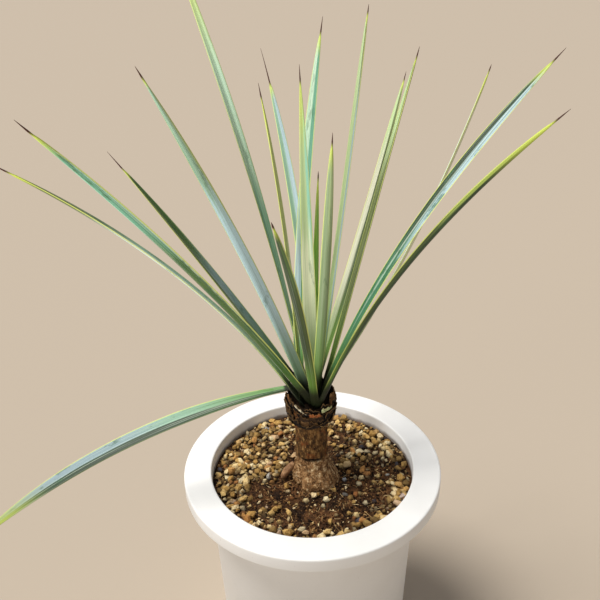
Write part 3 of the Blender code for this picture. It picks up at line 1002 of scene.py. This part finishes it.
MINT = srgb(192, 222, 192)
FROST = srgb(206, 238, 248)
FERN = srgb(182, 204, 146)
PALE = srgb(216, 232, 220)
STEEL = srgb(162, 184, 190)
SLATE = srgb(122, 144, 148)
AQUA = srgb(142, 200, 172)
TEAL = srgb(92, 150, 124)
SEA = srgb(56, 112, 82)
CREAM = srgb(238, 242, 202)
SAND = srgb(206, 204, 176)
STRAW = srgb(206, 212, 132)
LIME = srgb(170, 190, 84)
VIVID = srgb(112, 164, 44)
SAGE = srgb(146, 166, 122)
OLIVE = srgb(96, 104, 54)
MOSS = srgb(62, 74, 34)
# The darkest green is painted shade, for faces turned from the light.
SHADED_GREEN = srgb(30, 48, 28)
JADE = srgb(150, 186, 160)
FIR = srgb(72, 100, 46)

# Painted shade: when the upper right half is one of the first of these colours, the yellow margin
# and the young green at the root are dimmed along the right half; when the lower right half is one
# of the second, the young green at the root is painted darker.
SHADE_DIMS_MARGIN = (SHADED_GREEN, MOSS)
SHADE_DARKENS_ROOT = (SEA, FIR, SLATE)

# How each leaf looks from the front, in the same order: the left and the right part of its upper
# length, the same of its lower length, the share of the length where those meet, where across it
# left and right meet (-1 is the left margin and 1 the right), how far its wax is rubbed off, and
# how long its spine and the yellow below it are, in mm. The four colours are partly the leaf's own
# and partly painted light and shade: a pale lit half beside a dark shaded one, and the darkest
# green wherever a face is turned from the light.
LOOKS = (
    (MINT, MINT, TEAL, AQUA, 0.45, -0.2, 0.3, 7, 80),
    (SHADED_GREEN, FIR, SHADED_GREEN, MOSS, 0.7, 0.3, 0.05, 4, 16),
    (JADE, FERN, FROST, FROST, 0.66, 0.6, 0.1, 5, 8),
    (OLIVE, FIR, MOSS, SLATE, 0.55, -0.3, 0.3, 12, 10),
    (AQUA, TEAL, MOSS, FIR, 0.66, -0.2, 0.7, 7, 20),
    (OLIVE, OLIVE, JADE, PALE, 0.72, -0.2, 0.3, 7, 20),
    (STEEL, SHADED_GREEN, JADE, SHADED_GREEN, 0.4, -0.02, 0.38, 7, 60),
    (JADE, STEEL, JADE, STEEL, 0.4, 0, 0.12, 23, 14),
    (STRAW, STRAW, STRAW, CREAM, 0.5, 0.3, 0.03, 7, 30),
    (FERN, AQUA, CREAM, CREAM, 0.5, 0.3, 0.08, 8, 50),
    (MINT, TEAL, STEEL, TEAL, 0.45, 0.1, 0.3, 8, 16),
    (LIME, VIVID, VIVID, VIVID, 0.75, 0, 0.05, 3, 24),
    (SAGE, FERN, SAGE, SAGE, 0.7, -0.2, 0.1, 5, 20),
    (FERN, OLIVE, FERN, STEEL, 0.78, 0.2, 0.05, 4, 10),
    (FERN, OLIVE, OLIVE, MOSS, 0.7, 0, 0.05, 5, 8),
    (FERN, OLIVE, SAND, MOSS, 0.76, -0.05, 0.05, 5, 12),
    (CREAM, PALE, FERN, OLIVE, 0.35, 0, 0.02, 3, 34),
    (SHADED_GREEN, STEEL, SEA, SEA, 0.46, -0.1, 0.6, 7, 20),
    (LIME, SHADED_GREEN, MOSS, SHADED_GREEN, 0.66, -0.45, 0.15, 7, 50),
)


def heading(azimuth, lean):
    """The way a blade points, at a lean from upright."""
    return polar(1.0, azimuth, 0.0) * sin(lean) + UP * cos(lean)


def blade_half_width(share, width, power):
    taper = (1.0 - min(1.0, share) ** power) ** TAPER_CURVE
    root = ROOT_WIDTH + (1.0 - ROOT_WIDTH) * min(1.0, share / ROOT_SHARE)
    return max(TIP_WIDTH, width * taper * root) / 2


def blade_stations(row):
    """The middle line of a leaf, with its sideways and upper-face directions at each ring."""
    root_angle, root_mm, azimuth, lean, lean_tip, length, width, roll, roll_tip, power = row
    root_angle, azimuth = radians(root_angle), radians(azimuth)
    radius, length = root_mm / 1000, length / 1000
    across = Vector((-sin(azimuth), cos(azimuth), 0.0))
    point = polar(radius, root_angle, crown_height(radius))
    stations = []
    for i in range(LEAF_RINGS + 1):
        share = i / LEAF_RINGS
        bend = max(0.0, share - 0.5 / CAD_CELLS + 0.5 / LEAF_RINGS)
        ahead = heading(azimuth, radians(lean + (lean_tip - lean) * bend))
        side = Matrix.Rotation(radians(roll + (roll_tip - roll) * share), 3, ahead) @ across
        stations.append((point.copy(), side, ahead.cross(side), ahead))
        point += ahead * (length / LEAF_RINGS)
    return stations


def leaf_finish(number, row, look):
    """Waxed leaf skin, with painted light and shade on its halves. Along runs from the root to the tip,
    and across from margin to margin.
    """
    high_left, high_right, low_left, low_right, turn, split, rubbed, spine_mm, gold_mm = look
    root_mm, length = row[1], row[5]
    skin = Finish(f"leaf_{number:02d}_skin")
    along, across, upper = (skin.attribute(a) for a in ("along", "across", "upper"))
    seed = number * 3.7

    def pattern(across_scale, along_scale, detail, roughness=0.55, shift=0):
        place = skin.vector(across * across_scale, along * along_scale, seed + shift)
        return skin.noise(1.0, detail, roughness, place)

    lines = pattern(24, 3, 2.0)
    streaks = pattern(3.2, 5, 4.0, 0.6)
    patches = pattern(0.6, length / 24, 4.0, 0.65)
    bands = pattern(5.5, 1.6, 2.0, shift=5)
    ridges = pattern(30, 3, 1.0)

    # Painted light and shade: the look's four colours put a lit half of the channel beside a shaded one,
    # partly over the leaf's own colours.
    half = (across - split + (streaks - 0.5) * 0.25).step(-0.10, 0.10)
    height = (along - turn + (streaks - 0.5) * 0.4).step(-0.10, 0.10)
    colour = skin.blend(height, skin.blend(half, low_left, low_right),
                        skin.blend(half, high_left, high_right))
    banded = 0.2 + 0.5 * rubbed
    bare = (patches + (lines - 0.5) * 0.25).step(0.66 - 0.22 * rubbed, 0.70 - 0.22 * rubbed)
    sheen = 0.10 if SHADED_GREEN in look else 0.30
    # The last layer is painted shade, darkening the leaf's lower face a little.
    colour = skin.layered(
        colour,
        (bands.step(0.54, 0.66) * banded, 214, 228, 206), (bands.step(0.46, 0.34) * banded, 52, 92, 50),
        (bare * (0.3 + 0.6 * rubbed), 38, 86, 48), (lines.step(0.52, 0.40) * 0.25, 72, 100, 58),
        (lines.step(0.58, 0.70) * sheen, 232, 240, 216), (upper.step(0.05, -0.05) * 0.10, 70, 84, 48))

    from_root = along * length
    # Painted shade: the margin and the young green at the root are dimmed on a shaded right half, and the
    # young green is darker below a shaded lower right half.
    lit = 1 - half * (0.85 if high_right in SHADE_DIMS_MARGIN else 0.0)
    root_green_lit_or_shaded = (66, 104, 36) if low_right in SHADE_DARKENS_ROOT else (104, 148, 48)
    shade_mm = 3.0 + 22.0 * (1 - ease(root_mm, *CROWN_EDGE_MM))
    margin = across.size().step(0.84, 0.93) * from_root.step(6.0, 24.0) * 0.85
    tip_start = 1 - spine_mm / length
    gold = along.step(tip_start - gold_mm / length, tip_start - 2 / length)
    spine = along.step(tip_start - 4 / length, tip_start + 0.3 / length)
    colour = skin.layered(
        colour, (from_root.step(78.0, 16.0) * 0.65 * lit, *root_green_lit_or_shaded),
        (from_root.step(shade_mm, shade_mm * 0.25) * 0.95, 26, 26, 11), (margin * lit, 204, 212, 112),
        (gold * 0.85, 192, 206, 80), (spine, 66, 30, 16))
    return skin.done(colour, 0.52 - bare * 0.14, 0.4, ridges, 0.0002, 0.4)


def make_leaf(number, row, look):
    name = f"leaf_{number:02d}"
    root_mm, length, width, power = row[1], row[5] / 1000, row[6] / 1000, row[9]
    spine = look[7] / 1000
    stations = blade_stations(row)
    facing = 1 if stations[LEAF_RINGS // 2][1].x > 0 else -1
    sheath = SHEATH_DEPTH / length
    outer = ease(root_mm, *CROWN_EDGE_MM)
    bm = make_bar(LEAF_RINGS, LEAF_SIDES)
    along_of, across_of, upper_of = (bm.verts.layers.float.new(n) for n in ("along", "across", "upper"))
    for vert in bm.verts:
        share = min(1.0, max(0.0, vert.co.z)) * (1 + sheath) - sheath
        station = round(max(0.0, share) * LEAF_RINGS)
        point, side, face, ahead = stations[station]
        point = point + ahead * length * (share - station / LEAF_RINGS)
        place, upper = vert.co.x, vert.co.y
        root = 1 - ease(share, -sheath, SHEATH_SHARE)
        half = blade_half_width(max(0.0, share) * length / (length - spine * 0.7), width, power)
        folded = ROOT_FOLD * outer * (1 - ease(share, 0.0, FOLD_SHARE))
        half *= 1 + SHEATH_FLARE * root * (1 - outer) - folded
        spiny = ease(share * length, length - spine - 0.005, length - spine)
        needle = SPINE_RADIUS * (0.2 + 0.8 * min(1.0, max(0.0, (length - share * length) / spine)))
        half = half * (1 - spiny) + needle * spiny
        fold = sqrt(place * place + FOLD_ROUND ** 2) - FOLD_ROUND
        rise = half * CHANNEL_RISE * fold * (1 - spiny)
        thick = BLADE_MIDDLE + (BLADE_ROOT - BLADE_MIDDLE) * root
        thick = min(thick, half * 1.2) * (1 - spiny) + 2 * needle * spiny
        vert.co = point + side * (half * place) + face * (rise + thick / 2 * upper)
        vert[along_of] = share
        vert[across_of] = place * facing
        vert[upper_of] = upper
    top = max(vert.co.z for vert in bm.verts)
    bmesh.ops.translate(bm, verts=bm.verts, vec=(0.0, 0.0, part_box(name)[1].z - top))
    make_piece("sword_" + name, bm, leaf_finish(number, row, look), "leaf", name, sharp=60)


for number, (leaf_row, leaf_look) in enumerate(zip(LEAVES, LOOKS), 1):
    make_leaf(number, leaf_row, leaf_look)


# The stage is a plain pale floor under soft studio light: a broad lamp like a bright window high
# on the left, a narrow softbox on the leaves from the front left, and an even pale surround.
FLOOR_SIZE = 24.0
SURROUND_LIGHT = 0.35
WINDOW_HEADING = (0.42, 0.0, -1.0)
WINDOW_LIGHT = 3.4
SOFTBOX_PLACE = (-0.46, -0.52, 0.36)
SOFTBOX_AIM = (-0.01, 0.0, 0.43)
SOFTBOX_SIZE = 0.12
SOFTBOX_LIGHT = 20.0
CAMERA_DISTANCE = 0.5234
CAMERA_ELEVATION = radians(39.83)
CAMERA_PITCH = radians(27.14)
CAMERA_YAW = radians(-0.82)
CAMERA_ROLL = radians(-1.38)
CAMERA_LENS = 43.2


def make_lamp(name, kind, place, aim, strength, **settings):
    """A lamp that stands at a place and is turned to its aim."""
    lamp = bpy.data.lights.new(name, kind)
    lamp.energy = strength
    for key, value in settings.items():
        setattr(lamp, key, value)
    holder = set_out(name, lamp)
    holder.location = place
    holder.rotation_euler = (Vector(aim) - Vector(place)).to_track_quat("-Z", "Y").to_euler()


bm = bmesh.new()
bmesh.ops.create_grid(bm, x_segments=2, y_segments=2, size=FLOOR_SIZE / 2)
floor = set_out("floor", as_mesh("floor", bm))
floor.data.materials.append(Finish("pale_floor").done(srgb(184, 170, 152), 0.9, 0.2))
surround = bpy.data.worlds.new("surround")
surround.use_nodes = True
background = surround.node_tree.nodes["Background"]
background.inputs["Color"].default_value = srgb(240, 242, 248)
background.inputs["Strength"].default_value = SURROUND_LIGHT
bpy.context.scene.world = surround
make_lamp("window_lamp", "SUN", (0.0, 0.0, 0.0), WINDOW_HEADING, WINDOW_LIGHT,
          angle=radians(30), color=(1.0, 0.98, 0.95))
make_lamp("softbox", "SPOT", SOFTBOX_PLACE, SOFTBOX_AIM, SOFTBOX_LIGHT,
          shadow_soft_size=SOFTBOX_SIZE, spot_size=radians(53), spot_blend=1.0)

# The camera stands in front of the pot, above the rim, and looks down on it.
ahead = Vector((sin(CAMERA_YAW) * cos(CAMERA_PITCH),
                cos(CAMERA_YAW) * cos(CAMERA_PITCH), -sin(CAMERA_PITCH)))
level = ahead.cross(UP).normalized()
upright = level.cross(ahead)
right = level * cos(CAMERA_ROLL) + upright * sin(CAMERA_ROLL)
up = upright * cos(CAMERA_ROLL) - level * sin(CAMERA_ROLL)
lens = bpy.data.cameras.new("camera")
lens.lens = CAMERA_LENS
lens.sensor_width = 36.0
camera = set_out("camera", lens)
matrix = Matrix((right, up, -ahead)).transposed().to_4x4()
matrix.translation = (0.0, -CAMERA_DISTANCE * cos(CAMERA_ELEVATION),
                      POT_HEIGHT + CAMERA_DISTANCE * sin(CAMERA_ELEVATION))
camera.matrix_world = matrix
bpy.context.scene.camera = camera
bpy.context.scene.view_settings.view_transform = "Standard"
